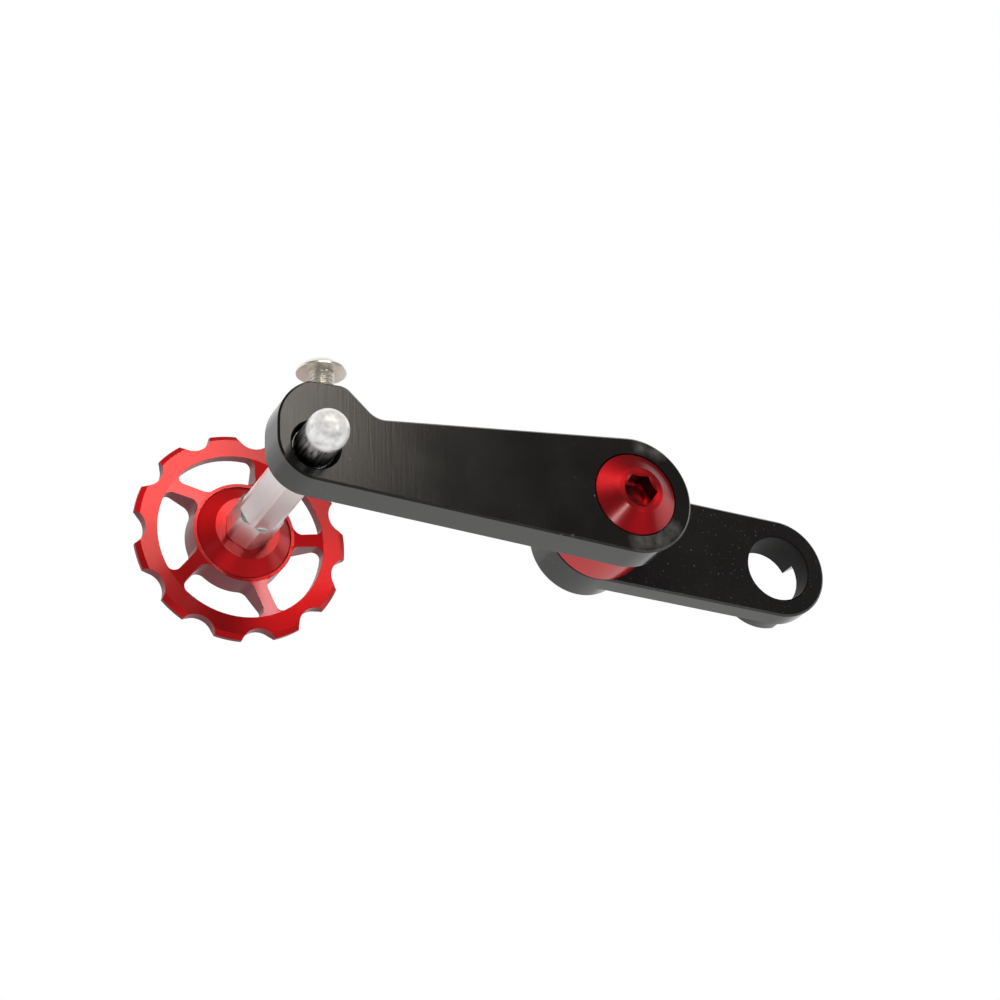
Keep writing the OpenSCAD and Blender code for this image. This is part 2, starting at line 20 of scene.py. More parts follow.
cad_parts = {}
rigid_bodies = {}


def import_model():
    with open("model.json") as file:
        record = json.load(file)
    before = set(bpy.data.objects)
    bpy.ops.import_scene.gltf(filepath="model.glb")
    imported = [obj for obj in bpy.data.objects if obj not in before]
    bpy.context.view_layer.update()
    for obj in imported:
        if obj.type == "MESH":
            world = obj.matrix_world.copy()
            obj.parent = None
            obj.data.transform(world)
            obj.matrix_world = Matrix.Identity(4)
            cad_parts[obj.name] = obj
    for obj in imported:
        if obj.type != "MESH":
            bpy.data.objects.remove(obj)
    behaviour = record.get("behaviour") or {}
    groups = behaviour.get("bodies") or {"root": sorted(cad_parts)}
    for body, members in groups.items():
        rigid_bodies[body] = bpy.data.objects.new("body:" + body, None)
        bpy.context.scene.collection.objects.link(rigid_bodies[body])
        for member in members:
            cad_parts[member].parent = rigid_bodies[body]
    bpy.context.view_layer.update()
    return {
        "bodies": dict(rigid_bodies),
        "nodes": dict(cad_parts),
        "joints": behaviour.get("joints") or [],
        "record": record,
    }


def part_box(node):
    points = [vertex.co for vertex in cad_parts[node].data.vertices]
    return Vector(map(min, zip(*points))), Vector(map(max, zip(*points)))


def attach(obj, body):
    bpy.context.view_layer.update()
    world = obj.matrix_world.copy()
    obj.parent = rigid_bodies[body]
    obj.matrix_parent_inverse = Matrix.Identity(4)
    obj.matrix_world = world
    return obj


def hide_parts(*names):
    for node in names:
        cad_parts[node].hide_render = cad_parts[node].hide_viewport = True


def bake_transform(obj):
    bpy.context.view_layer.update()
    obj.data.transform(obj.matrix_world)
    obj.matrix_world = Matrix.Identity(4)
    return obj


MM = 0.001
LOG = logging.getLogger("chain_tensioner")

# The most that a face's normal has along an axis where the face is a wall
# about it, or a wall or the chamfer at its mouth.
WALL_SLANT = 0.2
CHAMFER_SLANT = 0.9
# Points this near to each other are one, edges this short are none, and a
# point this near to a plane lies on it, all in millimetres.
WELD = 0.001
SHORTEST_EDGE = 0.0005
ON_PLANE = 0.01
# Two triangles fold over each other where they meet at more than this angle,
# along an edge that is at least this many millimetres long.
FOLD_ANGLE = math.radians(179.0)
FOLD_LENGTH = 5.0

# The Mix node's sockets: how much of B there is, the two numbers or colours
# to mix, and the mixed colour that comes out.
AMOUNT = 0
NUMBER_A = 2
NUMBER_B = 3
COLOUR_A = 6
COLOUR_B = 7
MIXED = 2

# A noise's values lie between 0 and 1, and most of them in this range.
NOISE_LOW = 0.35
NOISE_HIGH = 0.65
# The clouds' second tone comes in between these values of the noise.
CLOUD_FROM = 0.4
CLOUD_FULL = 0.75
# How much of the roughness follows the tool marks, and the rest the clouds.
MARKS_SHARE = 0.3
BUMP_STRENGTH = 0.6
BEVEL_SAMPLES = 4
# Specks are where a fine noise passes a threshold, which comes down from the
# first value by as much as the second as their amount rises to 1, and they
# fade in over the third.
SPECK_RARE = 0.80
SPECK_SPAN = 0.18
SPECK_FADE = 0.05
# The grit of a lightened patch in millimetres, and where in the grit it starts and fills.
GRIT_SIZE = 1.6
PATCH_FROM = 0.08
PATCH_FULL = 0.5

Socket = bpy.types.NodeSocket
Tree = bpy.types.NodeTree
Piece = bpy.types.Object


def linear(hex_colour: str) -> tuple[float, float, float, float]:
    """Turn an sRGB hex colour into linear red, green, blue and alpha.

    Args:
        hex_colour: Six hex digits with a leading #.

    Returns:
        The linear colour with an alpha of 1.
    """
    parts = [int(hex_colour[i : i + 2], 16) / 255 for i in (1, 3, 5)]
    low = [c / 12.92 if c <= 0.04045 else ((c + 0.055) / 1.055) ** 2.4 for c in parts]
    return (low[0], low[1], low[2], 1.0)


def add_node(tree: Tree, kind: str, inputs: dict | None = None, **settings) -> bpy.types.Node:
    """Add a node, set its properties, and set or link its inputs.

    Args:
        tree: The node tree to add to.
        kind: The node's type, without the ShaderNode in front.
        inputs: Input name or number to a value or to the socket it comes from.
        settings: The node's own properties.

    Returns:
        The new node.
    """
    node = tree.nodes.new("ShaderNode" + kind)
    for name, value in settings.items():
        setattr(node, name, value)
    for name, value in (inputs or {}).items():
        if isinstance(value, Socket):
            tree.links.new(value, node.inputs[name])
        else:
            node.inputs[name].default_value = value
    return node


class Lay(Enum):
    """The way the fine tool marks of a metal face run."""

    RINGS = "rings"
    ALONG_Y = "along_y"
    ALONG_Z = "along_z"


@dataclass(frozen=True)
class MetalFinish:
    """A metal surface with tool marks, cloudy wear and small specks.

    A frozen record of one finish. material() draws it: the colour drifts
    between two close tones, the roughness is uneven, tool marks run the way
    that the cutter went, and specks of dust or pitting lie on top. Lengths
    are millimetres, apart from the centre, a point on the part's axis in
    metres. Real tool marks lie about 0.1 mm apart, too fine to show, so each
    finish draws them two to seven times as coarse.
    """

    name: str
    colour: str
    cloud_colour: str
    roughness: float
    roughness_spread: float
    lay: Lay
    mark_spacing: float
    mark_depth: float
    mark_length: float = 60.0
    metallic: float = 1.0
    ior: float = 1.5
    grain: float = 0.0
    rim_tint: str = "#FFFFFF"
    cloud_size: float = 9.0
    cloud_amount: float = 0.5
    speck_colour: str = "#FFFFFF"
    speck_size: float = 0.9
    speck_amount: float = 0.0
    coat: float = 0.0
    coat_roughness: float = 0.1
    edge_radius: float = 0.12
    centre: tuple[float, float, float] = (0.0, 0.0, 0.0)
    glint_and_wear: tuple[tuple[float, float, float, float], ...] = ()
    glint_and_wear_colour: str = "#4C4B49"

    def material(self) -> bpy.types.Material:
        """Draw the finish as a node material.

        Returns:
            The new material.
        """
        made = bpy.data.materials.new(self.name)
        made.use_nodes = True
        tree = made.node_tree
        tree.nodes.clear()
        spot = add_node(tree, "TexCoord").outputs["Object"]
        place = add_node(
            tree, "VectorMath", {0: spot, 1: self.centre}, operation="SUBTRACT"
        ).outputs[0]
        clouds = self._clouds(tree, place)
        marks = self._marks(tree, place)
        colour = self._colour(tree, place, clouds)
        uneven = add_node(
            tree,
            "Mix",
            {AMOUNT: MARKS_SHARE, NUMBER_A: clouds, NUMBER_B: marks},
            data_type="FLOAT",
        ).outputs[0]
        rough = add_node(
            tree,
            "MapRange",
            {
                "Value": uneven,
                "From Min": NOISE_LOW,
                "From Max": NOISE_HIGH,
                "To Min": self.roughness - self.roughness_spread,
                "To Max": self.roughness + self.roughness_spread,
            },
        ).outputs["Result"]
        rough = self._rough(tree, place, rough)
        round_edge = add_node(
            tree, "Bevel", {"Radius": self.edge_radius * MM}, samples=BEVEL_SAMPLES
        )
        bump = add_node(
            tree,
            "Bump",
            {
                "Strength": BUMP_STRENGTH,
                "Distance": self.mark_depth * MM,
                "Height": marks,
                "Normal": round_edge.outputs["Normal"],
            },
        )
        shader = add_node(
            tree,
            "BsdfPrincipled",
            {
                "Base Color": colour,
                "Metallic": self.metallic,
                "IOR": self.ior,
                "Roughness": rough,
                "Anisotropic": self.grain,
                "Specular Tint": linear(self.rim_tint),
                "Coat Weight": self.coat,
                "Coat Roughness": self.coat_roughness,
                "Normal": bump.outputs["Normal"],
            },
        )
        if self.grain > 0:
            tree.links.new(self._across(tree, place), shader.inputs["Tangent"])
        add_node(tree, "OutputMaterial", {"Surface": shader.outputs["BSDF"]})
        return made

    def _across(self, tree: Tree, place: Socket) -> Socket:
        """Give the direction across the tool marks, in which they spread light.

        Args:
            tree: The node tree to add to.
            place: The point on the piece, from the finish's centre.

        Returns:
            The socket that carries the direction.
        """
        ways = {
            Lay.ALONG_Y: (0.0, 1.0, 0.0),
            Lay.ALONG_Z: (0.0, 0.0, 1.0),
        }
        way = ways.get(self.lay)
        if way is None:
            way = add_node(
                tree,
                "VectorMath",
                {0: place, 1: (0.0, 1.0, 0.0)},
                operation="CROSS_PRODUCT",
            ).outputs[0]
        return add_node(
            tree,
            "VectorMath",
            {0: add_node(tree, "NewGeometry").outputs["Normal"], 1: way},
            operation="CROSS_PRODUCT",
        ).outputs[0]

    def _clouds(self, tree: Tree, place: Socket) -> Socket:
        """Give a slow noise, the unevenness of handling and of the dye bath."""
        return add_node(
            tree,
            "TexNoise",
            {"Vector": place, "Scale": 1 / (self.cloud_size * MM), "Detail": 4.0},
        ).outputs["Fac"]

    def _marks(self, tree: Tree, place: Socket) -> Socket:
        """Give the tool marks as a height from 0 to 1.

        Args:
            tree: The node tree to add to.
            place: The point on the piece, in metres from the finish's centre.

        Returns:
            The socket that carries the height.
        """
        fine = 1 / (self.mark_spacing * MM)
        if self.lay is Lay.RINGS:
            flat = add_node(
                tree, "VectorMath", {0: place, 1: (1.0, 0.0, 1.0)}, operation="MULTIPLY"
            ).outputs[0]
            radius = add_node(
                tree, "VectorMath", {0: flat}, operation="LENGTH"
            ).outputs["Value"]
            stretched = add_node(tree, "CombineXYZ", {"X": radius}).outputs[0]
            across = (fine, 0.0, 0.0)
        else:
            stretched = place
            long = fine / self.mark_length
            across = {
                Lay.ALONG_Y: (fine, long, fine),
                Lay.ALONG_Z: (fine, fine, long),
            }[self.lay]
        scaled = add_node(
            tree, "VectorMath", {0: stretched, 1: across}, operation="MULTIPLY"
        ).outputs[0]
        return add_node(
            tree, "TexNoise", {"Vector": scaled, "Scale": 1.0, "Detail": 3.0}
        ).outputs["Fac"]

    def _colour(self, tree: Tree, place: Socket, clouds: Socket) -> Socket:
        """Mix the two tones by the clouds, then lay the specks on top.

        Args:
            tree: The node tree to add to.
            place: The point on the piece.
            clouds: The slow noise.

        Returns:
            The socket that carries the colour.
        """
        amount = add_node(
            tree,
            "MapRange",
            {
                "Value": clouds,
                "From Min": CLOUD_FROM,
                "From Max": CLOUD_FULL,
                "To Max": self.cloud_amount,
            },
        ).outputs["Result"]
        tone = add_node(
            tree,
            "Mix",
            {
                AMOUNT: amount,
                COLOUR_A: linear(self.colour),
                COLOUR_B: linear(self.cloud_colour),
            },
            data_type="RGBA",
        ).outputs[MIXED]
        tone = self._paint_glint_and_wear(tree, place, tone)
        if self.speck_amount <= 0:
            return tone
        speckle = add_node(
            tree,
            "TexNoise",
            {"Vector": place, "Scale": 1 / (self.speck_size * MM), "Detail": 2.0},
        ).outputs["Fac"]
        threshold = SPECK_RARE - SPECK_SPAN * self.speck_amount
        mask = add_node(
            tree,
            "MapRange",
            {"Value": speckle, "From Min": threshold, "From Max": threshold + SPECK_FADE},
        ).outputs["Result"]
        return add_node(
            tree,
            "Mix",
            {AMOUNT: mask, COLOUR_A: tone, COLOUR_B: linear(self.speck_colour)},
            data_type="RGBA",
        ).outputs[MIXED]

    def _paint_glint_and_wear(self, tree: Tree, place: Socket, tone: Socket) -> Socket:
        """Lighten the colour in patches, painted highlights and real wear, each a place and a reach in
        millimetres.

        Args:
            tree: The node tree to add to.
            place: The point on the piece.
            tone: The colour without the patches.

        Returns:
            The socket that carries the patched colour.
        """
        for x, y, z, reach in self.glint_and_wear:
            gap = add_node(
                tree,
                "VectorMath",
                {0: place, 1: (x * MM, y * MM, z * MM)},
                operation="DISTANCE",
            ).outputs["Value"]
            near = add_node(
                tree,
                "MapRange",
                {"Value": gap, "From Max": reach * MM, "To Min": 1.0, "To Max": 0.0},
            ).outputs["Result"]
            grit = add_node(
                tree,
                "TexNoise",
                {"Vector": place, "Scale": 1 / (GRIT_SIZE * MM), "Detail": 5.0},
            ).outputs["Fac"]
            mask = add_node(tree, "Math", {0: near, 1: grit}, operation="MULTIPLY")
            mask = add_node(
                tree,
                "MapRange",
                {"Value": mask.outputs[0], "From Min": PATCH_FROM, "From Max": PATCH_FULL},
            ).outputs["Result"]
            tone = add_node(
                tree,
                "Mix",
                {AMOUNT: mask, COLOUR_A: tone, COLOUR_B: linear(self.glint_and_wear_colour)},
                data_type="RGBA",
            ).outputs[MIXED]
        return tone

    def _rough(self, tree: Tree, place: Socket, rough: Socket) -> Socket:
        """Leave the roughness as the clouds make it; a finish may change it."""
        return rough


@dataclass(frozen=True)
class PolishedEndFinish(MetalFinish):
    """Satin rod with a band near its turned end, painted with dark streaks.

    The band is what slides in the arm's hole: its dark streaks are a painted
    reflection of the bore, and it lies between two depths along the rod,
    polish_from and band_to. It fades in and out over short stretches beside
    them. The streaks are 0.42 mm wide and 3.3 mm long.
    """

    polish_from: float = -28.0
    polish_fade: float = 1.5
    polished: float = 0.33
    fade_before: float = 0.6
    fade_after: float = 0.4
    band_to: float = -20.3
    band_fade: float = 0.5
    painted_reflection: str = "#343332"
    streak_least: float = 0.5
    streaks_a_metre: tuple[float, float, float] = (2400.0, 300.0, 2400.0)

    def _colour(self, tree: Tree, place: Socket, clouds: Socket) -> Socket:
        """Draw the bright metal, then the painted reflection's dark streaks on the band.

        Args:
            tree: The node tree to add to.
            place: The point on the piece.
            clouds: The slow noise.

        Returns:
            The socket that carries the colour.
        """
        tone = super()._colour(tree, place, clouds)
        depth = add_node(tree, "SeparateXYZ", {0: place}).outputs["Y"]
        past = add_node(
            tree,
            "MapRange",
            {
                "Value": depth,
                "From Min": (self.polish_from - self.fade_before) * MM,
                "From Max": (self.polish_from + self.fade_after) * MM,
            },
        ).outputs["Result"]
        before = add_node(
            tree,
            "MapRange",
            {
                "Value": depth,
                "From Min": (self.band_to - self.band_fade) * MM,
                "From Max": self.band_to * MM,
                "To Min": 1.0,
                "To Max": 0.0,
            },
        ).outputs["Result"]
        band = add_node(tree, "Math", {0: past, 1: before}, operation="MULTIPLY")
        long = add_node(
            tree, "VectorMath", {0: place, 1: self.streaks_a_metre}, operation="MULTIPLY"
        ).outputs[0]
        streaks = add_node(
            tree, "TexNoise", {"Vector": long, "Scale": 1.0, "Detail": 4.0}
        ).outputs["Fac"]
        streaks = add_node(
            tree,
            "MapRange",
            {
                "Value": streaks,
                "From Min": NOISE_LOW,
                "From Max": NOISE_HIGH,
                "To Min": self.streak_least,
            },
        ).outputs["Result"]
        mask = add_node(
            tree, "Math", {0: band.outputs[0], 1: streaks}, operation="MULTIPLY"
        ).outputs[0]
        # The band's dark streaks are a painted reflection of the bore, mixed into the colour.
        return add_node(
            tree,
            "Mix",
            {AMOUNT: mask, COLOUR_A: tone, COLOUR_B: linear(self.painted_reflection)},
            data_type="RGBA",
        ).outputs[MIXED]

    def _rough(self, tree: Tree, place: Socket, rough: Socket) -> Socket:
        """Blend to the polished roughness towards the viewer's end of the rod.

        Args:
            tree: The node tree to add to.
            place: The point on the piece.
            rough: The roughness that the clouds make.

        Returns:
            The socket that carries the blended roughness.
        """
        depth = add_node(tree, "SeparateXYZ", {0: place}).outputs["Y"]
        share = add_node(
            tree,
            "MapRange",
            {
                "Value": depth,
                "From Min": (self.polish_from - self.polish_fade) * MM,
                "From Max": self.polish_from * MM,
                "To Min": 1.0,
                "To Max": 0.0,
            },
        ).outputs["Result"]
        return add_node(
            tree,
            "Mix",
            {AMOUNT: share, NUMBER_A: rough, NUMBER_B: self.polished},
            data_type="FLOAT",
        ).outputs[0]


# Lighter grey patches on the arm's face, each x, y, z and reach: the two above
# the pivot bolt's recess are a painted highlight, the glint along its chamfer;
# the three below lighten a band along the recess's bottom; the last is a small
# chip of real wear on the lower edge.
GLINT_AND_WEAR_PATCHES = (
    (-39.2, -22.6, 13.0, 2.6),
    (-35.6, -22.6, 12.6, 3.2),
    (-40.2, -22.6, -7.0, 3.6),
    (-36.4, -22.6, -6.4, 4.0),
    (-33.4, -22.6, -3.6, 3.0),
    (-54.7, -22.6, -8.2, 0.6),
)
# Black anodised aluminium, milled: the dyed oxide skin hides the metal, so it
# shines as a dark glaze does, faintly from in front and grey at a slant, with
# the face mill's fine lines standing up the plate.
BLACK_MILLED = MetalFinish(
    name="black_anodised_milled_aluminium",
    colour="#121110",
    cloud_colour="#1B1A18",
    roughness=0.17,
    roughness_spread=0.02,
    lay=Lay.ALONG_Z,
    mark_spacing=0.42,
    mark_depth=0.012,
    mark_length=25.0,
    metallic=0.0,
    ior=1.6,
    grain=0.3,
    edge_radius=0.05,
    speck_colour="#8C8A86",
    speck_size=0.55,
    speck_amount=0.35,
    # Lighter patches: a painted highlight by the pivot bolt's recess, and a chip of real wear.
    glint_and_wear=GLINT_AND_WEAR_PATCHES,
)
# The same bath on the link, handled more: pits and dust show on its face.
BLACK_LINK = MetalFinish(
    name="black_anodised_dusty_aluminium",
    colour="#171616",
    cloud_colour="#1E1D1C",
    roughness=0.16,
    roughness_spread=0.03,
    lay=Lay.ALONG_Z,
    mark_spacing=0.45,
    mark_depth=0.006,
    metallic=0.0,
    ior=1.6,
    grain=0.3,
    edge_radius=0.05,
    speck_colour="#6A6866",
    speck_size=0.42,
    speck_amount=0.62,
)
# The same dye inside the drilled holes and their chamfers, dull where the
# drill left it, and painted darker than the face as shade.
BLACK_BORE_SHADE = MetalFinish(
    name="black_anodised_bore_painted_shade",
    colour="#0D0C0C",
    cloud_colour="#151414",
    roughness=0.55,
    roughness_spread=0.06,
    lay=Lay.RINGS,
    mark_spacing=0.4,
    mark_depth=0.01,
    metallic=0.0,
    ior=1.3,
)
# Red anodised aluminium, end-milled: the walls of the teeth and openings are
# rougher than the turned faces, and painted darker, almost to purple, as shade.
RED_WALLS_SHADE = MetalFinish(
    name="red_anodised_walls_painted_shade",
    colour="#74262F",
    cloud_colour="#621E26",
    roughness=0.34,
    roughness_spread=0.05,
    lay=Lay.ALONG_Y,
    mark_spacing=0.4,
    mark_depth=0.003,
    metallic=0.8,
)
# The same dye in the broached socket, painted darker and mottled as shade,
# where little light gets in.
RED_SOCKET_SHADE = MetalFinish(
    name="red_anodised_socket_painted_shade",
    colour="#7A0D14",
    cloud_colour="#4A0A0E",
    roughness=0.28,
    roughness_spread=0.08,
    lay=Lay.ALONG_Y,
    mark_spacing=0.4,
    mark_depth=0.01,
    cloud_size=1.5,
    cloud_amount=1.0,
)
# Aluminium, bead-blasted and dented by use: the rod's domed end scatters light
# as a soft grey-white, mottled over a millimetre or so.
BLASTED_END = MetalFinish(
    name="blasted_aluminium_dome",
    colour="#FFFFFF",
    cloud_colour="#BDBCB9",
    roughness=0.4,
    roughness_spread=0.1,
    lay=Lay.RINGS,
    mark_spacing=0.7,
    mark_depth=0.03,
    metallic=0.35,
    cloud_size=1.8,
    cloud_amount=1.0,
    centre=(-0.1059, 0.0, 0.0025),
)
# Bearing steel, hardened and ground: a cool grey that mirrors softly, with
# faint rings from the wheel.
STEEL_GROUND = MetalFinish(
    name="ground_bearing_steel",
    colour="#BFC0C2",
    cloud_colour="#A9AAAD",
    roughness=0.2,
    roughness_spread=0.04,
    lay=Lay.RINGS,
    mark_spacing=0.2,
    mark_depth=0.004,
)
# Bright stainless steel: a formed head, slightly wavy, and a rolled thread.
STAINLESS = MetalFinish(
    name="bright_stainless_steel",
    colour="#F4F0E6",
    cloud_colour="#E2DDD2",
    roughness=0.3,
    roughness_spread=0.05,
    lay=Lay.ALONG_Z,
    mark_spacing=0.5,
    mark_depth=0.003,
    metallic=0.8,
)
# Spring steel, drawn to wire and oiled: dark grey, half shiny, with brown
# specks where the oil has dried.
SPRING_WIRE = MetalFinish(
    name="oiled_drawn_spring_steel",
    colour="#6B6C6F",
    cloud_colour="#4A4B4E",
    speck_colour="#3A3530",
    roughness=0.3,
    roughness_spread=0.08,
    lay=Lay.ALONG_Z,
    mark_spacing=0.2,
    mark_depth=0.003,
    speck_amount=0.4,
)
# Bearing bronze, turned: a warm brown gold with fine rings from the lathe.
BRONZE = MetalFinish(
    name="turned_bearing_bronze",
    colour="#B98A55",
    cloud_colour="#9C7040",
    roughness=0.3,
    roughness_spread=0.06,
    lay=Lay.RINGS,
    mark_spacing=0.25,
    mark_depth=0.004,
)


def red_turned(name: str, centre: Vector, tone: str, edge: float) -> MetalFinish:
    """Give the red anodised finish of a part turned about one axis.

    Red anodised aluminium, turned: a clear deep red with a sealed, slightly
    glossy skin, and fine rings from the lathe that spread the highlights
    into fans.

    Args:
        name: What the finish is for.
        centre: A point on the part's axis, in metres.
        tone: The dye's colour, which differs a little from batch to batch.
        edge: How far the edges are rounded, in millimetres.

    Returns:
        The finish, its rings about that point.
    """
    return MetalFinish(
        name=name,
        colour=tone,
        cloud_colour=tone,
        speck_colour="#F08A80",
        roughness=0.46,
        roughness_spread=0.03,
        lay=Lay.RINGS,
        mark_spacing=0.6,
        mark_depth=0.004,
        grain=0.75,
        rim_tint="#C08088",
        speck_size=0.6,
        speck_amount=0.1,
        coat=1.0,
        coat_roughness=0.22,
        edge_radius=edge,
        centre=tuple(centre),
    )


def centre_of(node: str) -> Vector:
    """Give the middle of a CAD node's box, in metres."""
    low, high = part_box(node)
    return (Vector(low) + Vector(high)) / 2


def dress_bore(
    piece: Piece,
    axis: Vector,
    reach: float,
    material: bpy.types.Material,
    slant: float = WALL_SLANT,
) -> None:
    """Give the walls about an axis a finish of their own.

    Args:
        piece: The mesh object, already dressed.
        axis: A point on the hole's axis, which runs along +Y, in metres.
        reach: How far from the axis the walls lie at most, in millimetres.
        material: The finish of the walls, drawn.
        slant: The most that a wall's normal has along the axis.
    """
    piece.data.materials.append(material)
    last = len(piece.data.materials) - 1
    for face in piece.data.polygons:
        out = face.center - axis
        out.y = 0.0
        if abs(face.normal.y) < slant and out.length < reach * MM:
            face.material_index = last


def dress(piece: Piece, material: bpy.types.Material) -> None:
    """Give a piece one material on all its faces.

    Args:
        piece: The mesh object.
        material: The finish, drawn.
    """
    piece.data.materials.clear()
    piece.data.materials.append(material)
    LOG.info("dressed %s in %s", piece.name, material.name)


@dataclass
class Part:
    """One sub-assembly: the frame it is built on, and its helpers."""

    frame: dict

    def node(self, name: str) -> Piece:
        """Give the CAD node's object."""
        return self.frame["nodes"][name]

    def body(self, name: str) -> str:
        """Give the body that a CAD node belongs to."""
        bodies = self.frame["record"]["behaviour"]["bodies"]
        return next(body for body, nodes in bodies.items() if name in nodes)

    def stand_in(self, node: str, mesh: bpy.types.Mesh, word: str) -> Piece:
        """Put a new mesh in a CAD node's place.

        Args:
            node: The CAD node that the mesh stands for.
            mesh: The mesh, in metres, where the node is.
            word: What is added to the node's name.

        Returns:
            The new piece.
        """
        piece = bpy.data.objects.new(f"{node}_{word}", mesh)
        bpy.context.scene.collection.objects.link(piece)
        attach(piece, self.body(node))
        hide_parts(node)
        return piece

    def smooth_copy(self, node: str, sharp_deg: float = 24.0) -> Piece:
        """Copy a node with its arcs shaded smooth and its edges kept sharp.

        Args:
            node: The CAD node to copy.
            sharp_deg: The least angle in degrees at which an edge stays sharp.

        Returns:
            The copy, standing for the node.
        """
        work = bmesh.new()
        work.from_mesh(self.node(node).data)
        bmesh.ops.remove_doubles(work, verts=work.verts, dist=WELD * MM)
        bmesh.ops.dissolve_degenerate(work, edges=work.edges, dist=SHORTEST_EDGE * MM)
        refill_folds(work)
        points = [v.co.copy() for v in work.verts]
        work.verts.index_update()
        faces = [[v.index for v in f.verts] for f in work.faces]
        work.free()
        mesh = bpy.data.meshes.new(node + "_smooth")
        mesh.from_pydata(points, [], faces)
        shade_by_angle(mesh, sharp_deg)
        return self.stand_in(node, mesh, "smooth")


def refill_folds(work: bmesh.types.BMesh) -> None:
    """Fill again each flat face across +Y whose long triangles fold over.

    Args:
        work: The mesh, mended in place.
    """
    folded = [
        edge
        for edge in work.edges
        if len(edge.link_faces) == 2
        and edge.calc_face_angle(0.0) > FOLD_ANGLE
        and edge.calc_length() > FOLD_LENGTH * MM
    ]
    for level in {round(e.verts[0].co.y / MM, 2) for e in folded}:
        flat = [
            f
            for f in work.faces
            if all(abs(v.co.y / MM - level) < ON_PLANE for v in f.verts)
        ]
        side = sum(f.normal.y * f.calc_area() for f in flat)
        inside = set(flat)
        rim = [
            e
            for e in {e for f in flat for e in f.edges}
            if sum(f in inside for f in e.link_faces) == 1
        ]
        bmesh.ops.delete(work, geom=flat, context="FACES")
        made = bmesh.ops.triangle_fill(work, edges=rim, use_beauty=True)["geom"]
        for face in [g for g in made if isinstance(g, bmesh.types.BMFace)]:
            face.normal_update()
            if face.normal.y * side < 0:
                face.normal_flip()
        LOG.info("filled the flat at %.2f mm again", level)


def shade_by_angle(mesh: bpy.types.Mesh, sharp_deg: float) -> None:
    """Shade a mesh smooth, apart from edges at or over an angle.

    Args:
        mesh: The mesh to shade.
        sharp_deg: The least angle in degrees at which an edge stays sharp.
    """
    work = bmesh.new()
    work.from_mesh(mesh)
    limit = math.radians(sharp_deg)
    for face in work.faces:
        face.smooth = True
    for edge in work.edges:
        edge.smooth = edge.is_manifold and edge.calc_face_angle(0.0) < limit
    work.to_mesh(mesh)
    work.free()


@dataclass
class HangerLink(Part):
    """The plate that bolts to the hanger, with its barrel and stop lip.

    The bore's dull finish, painted darker as shade, reaches out to bore_r, past its chamfer.
    """

    bore_r: float = 7.3

    def build(self) -> None:
        """Shade the link smooth and give it the dusty black finish."""
        link = self.smooth_copy("hanger_link")
        dress(link, BLACK_LINK.material())
        origin = Vector((0.0, 0.0, 0.0))
        dress_bore(link, origin, self.bore_r, BLACK_BORE_SHADE.material(), CHAMFER_SLANT)


@dataclass
class PivotStack(Part):
    """The collar, the bolt and what turns on it between link and arm.

    The spring is left without a parent and doesn't wind as the arm swings.
    foot_depth is not used.
    """

    tone: str = "#CF1822"
    edge: float = 0.3
    socket_r: float = 3.6
    bolt_sharp_deg: float = 20.0
    spring_sharp_deg: float = 60.0
    foot_depth: float = 2.0

    def build(self) -> None:
        """Dress the collar, the bolt, the sleeve, the washer and the spring."""
        axis = centre_of("pivot_bolt")
        finish = red_turned("red_anodised_turned_pivot", axis, self.tone, self.edge)
        red = finish.material()
        dress(self.node("spring_collar"), red)
        bolt = self.smooth_copy("pivot_bolt", self.bolt_sharp_deg)
        dress(bolt, red)
        # The socket's walls are painted darker, as shade.
        dress_bore(bolt, axis, self.socket_r, RED_SOCKET_SHADE.material())
        dress(self.node("pivot_sleeve"), STEEL_GROUND.material())
        dress(self.node("head_washer"), BRONZE.material())
        self._wind_spring(axis)

    def _wind_spring(self, axis: Vector) -> None:
        """Dress the spring and take away its parent, so it stays where it was built.

        Args:
            axis: A point on the pivot's axis, in metres. Not used.
        """
        spring = self.smooth_copy("torsion_spring", self.spring_sharp_deg)
        spring.parent = None
        dress(spring, SPRING_WIRE.material())
        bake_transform(spring)


@dataclass
class SprungArm(Part):
    """The arm with its stop pin.

    The axle hole's dull finish, painted darker as shade, reaches out to hole_r, past its chamfer.
    """

    hole_r: float = 5.1

    def build(self) -> None:
        """Shade the arm smooth and dress it and its pin."""
        arm = self.smooth_copy("main_arm")
        dress(arm, BLACK_MILLED.material())
        axis = centre_of("hex_spacer")
        dress_bore(arm, axis, self.hole_r, BLACK_BORE_SHADE.material(), CHAMFER_SLANT)
        dress(self.node("stop_pin"), STEEL_GROUND.material())


